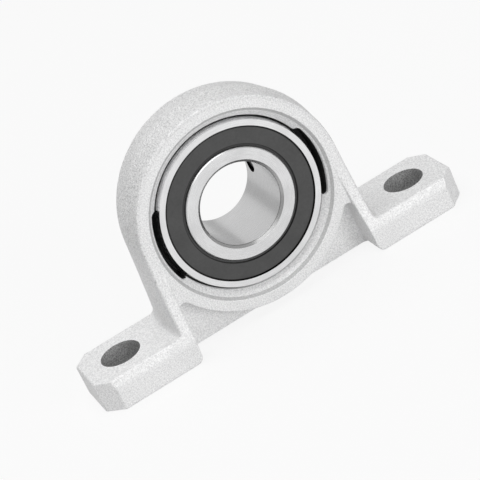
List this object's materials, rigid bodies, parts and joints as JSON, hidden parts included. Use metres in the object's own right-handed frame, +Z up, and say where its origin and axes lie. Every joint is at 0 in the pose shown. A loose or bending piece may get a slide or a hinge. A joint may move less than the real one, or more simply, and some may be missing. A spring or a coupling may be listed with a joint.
{
  "type": "pillow block bearing",
  "caption": "Self-aligning pillow block: a cast foot-mounted housing with a sealed ball bearing insert that swivels in a spherical seat and locks onto a shaft with set screws.",
  "frame": {"origin": "on the underside of the feet, midway between the two bolt holes", "axes": "+X along the base from bolt hole to bolt hole, +Y along the shaft towards the set screw collar, +Z up from the mounting surface"},
  "size_m": [0.1, 0.025, 0.0548],
  "materials": {
    "cast_zinc": "fine blasted zinc die casting",
    "ring_steel": "ground bearing steel",
    "ball_steel": "polished bearing steel",
    "cage_steel": "pressed steel strip",
    "seal_rubber": "smooth black nitrile rubber",
    "core_steel": "pressed steel strip",
    "screw_steel": "black oxide"
  },
  "bodies": {
    "housing": {"housing": "cast_zinc"},
    "outer_race": {"outer_ring": "ring_steel", "seal_front_rubber": "seal_rubber", "seal_front_core": "core_steel", "seal_back_rubber": "seal_rubber", "seal_back_core": "core_steel"},
    "inner_race": {"inner_ring": "ring_steel"},
    "cage": {"cage_front": "cage_steel", "cage_back": "cage_steel", "cage_rivets": "cage_steel"},
    "roller_1": {"ball_1": "ball_steel"},
    "roller_2": {"ball_2": "ball_steel"},
    "roller_3": {"ball_3": "ball_steel"},
    "roller_4": {"ball_4": "ball_steel"},
    "roller_5": {"ball_5": "ball_steel"},
    "roller_6": {"ball_6": "ball_steel"},
    "roller_7": {"ball_7": "ball_steel"},
    "roller_8": {"ball_8": "ball_steel"},
    "roller_9": {"ball_9": "ball_steel"},
    "screw_1": {"set_screw_1": "screw_steel"},
    "screw_2": {"set_screw_2": "screw_steel"}
  },
  "joints": [
    {"name": "bearing_tilt", "type": "hinge", "parent": "housing", "child": "outer_race", "pos_m": [0, 0, 0.028], "axis": [1, 0, 0], "range_deg": [-3, 3]},
    {"name": "shaft_spin", "type": "hinge", "parent": "outer_race", "child": "inner_race", "pos_m": [0, 0, 0.028], "axis": [0, 1, 0], "continuous": true},
    {"name": "cage_orbit", "type": "hinge", "parent": "outer_race", "child": "cage", "pos_m": [0, 0, 0.028], "axis": [0, 1, 0], "continuous": true},
    {"name": "ball_1_roll", "type": "hinge", "parent": "cage", "child": "roller_1", "pos_m": [0, 0, 0.0435], "axis": [0, 1, 0], "continuous": true},
    {"name": "ball_2_roll", "type": "hinge", "parent": "cage", "child": "roller_2", "pos_m": [-0.00996, 0, 0.03987], "axis": [0, 1, 0], "continuous": true},
    {"name": "ball_3_roll", "type": "hinge", "parent": "cage", "child": "roller_3", "pos_m": [-0.01526, 0, 0.03069], "axis": [0, 1, 0], "continuous": true},
    {"name": "ball_4_roll", "type": "hinge", "parent": "cage", "child": "roller_4", "pos_m": [-0.01342, 0, 0.02025], "axis": [0, 1, 0], "continuous": true},
    {"name": "ball_5_roll", "type": "hinge", "parent": "cage", "child": "roller_5", "pos_m": [-0.0053, 0, 0.01343], "axis": [0, 1, 0], "continuous": true},
    {"name": "ball_6_roll", "type": "hinge", "parent": "cage", "child": "roller_6", "pos_m": [0.0053, 0, 0.01343], "axis": [0, 1, 0], "continuous": true},
    {"name": "ball_7_roll", "type": "hinge", "parent": "cage", "child": "roller_7", "pos_m": [0.01342, 0, 0.02025], "axis": [0, 1, 0], "continuous": true},
    {"name": "ball_8_roll", "type": "hinge", "parent": "cage", "child": "roller_8", "pos_m": [0.01526, 0, 0.03069], "axis": [0, 1, 0], "continuous": true},
    {"name": "ball_9_roll", "type": "hinge", "parent": "cage", "child": "roller_9", "pos_m": [0.00996, 0, 0.03987], "axis": [0, 1, 0], "continuous": true},
    {"name": "set_screw_1_travel", "type": "slide", "parent": "inner_race", "child": "screw_1", "axis": [1, 0, 0], "range_m": [-0.0004, 0.0015]},
    {"name": "set_screw_2_travel", "type": "slide", "parent": "inner_race", "child": "screw_2", "axis": [-0.5, 0, 0.866], "range_m": [-0.0004, 0.0015]}
  ],
  "couplings": [
    {"joint": "cage_orbit", "follows": "shaft_spin", "ratio": 0.39758},
    {"joint": "ball_1_roll", "follows": "shaft_spin", "ratio": -2.3385},
    {"joint": "ball_2_roll", "follows": "shaft_spin", "ratio": -2.3385},
    {"joint": "ball_3_roll", "follows": "shaft_spin", "ratio": -2.3385},
    {"joint": "ball_4_roll", "follows": "shaft_spin", "ratio": -2.3385},
    {"joint": "ball_5_roll", "follows": "shaft_spin", "ratio": -2.3385},
    {"joint": "ball_6_roll", "follows": "shaft_spin", "ratio": -2.3385},
    {"joint": "ball_7_roll", "follows": "shaft_spin", "ratio": -2.3385},
    {"joint": "ball_8_roll", "follows": "shaft_spin", "ratio": -2.3385},
    {"joint": "ball_9_roll", "follows": "shaft_spin", "ratio": -2.3385}
  ]
}
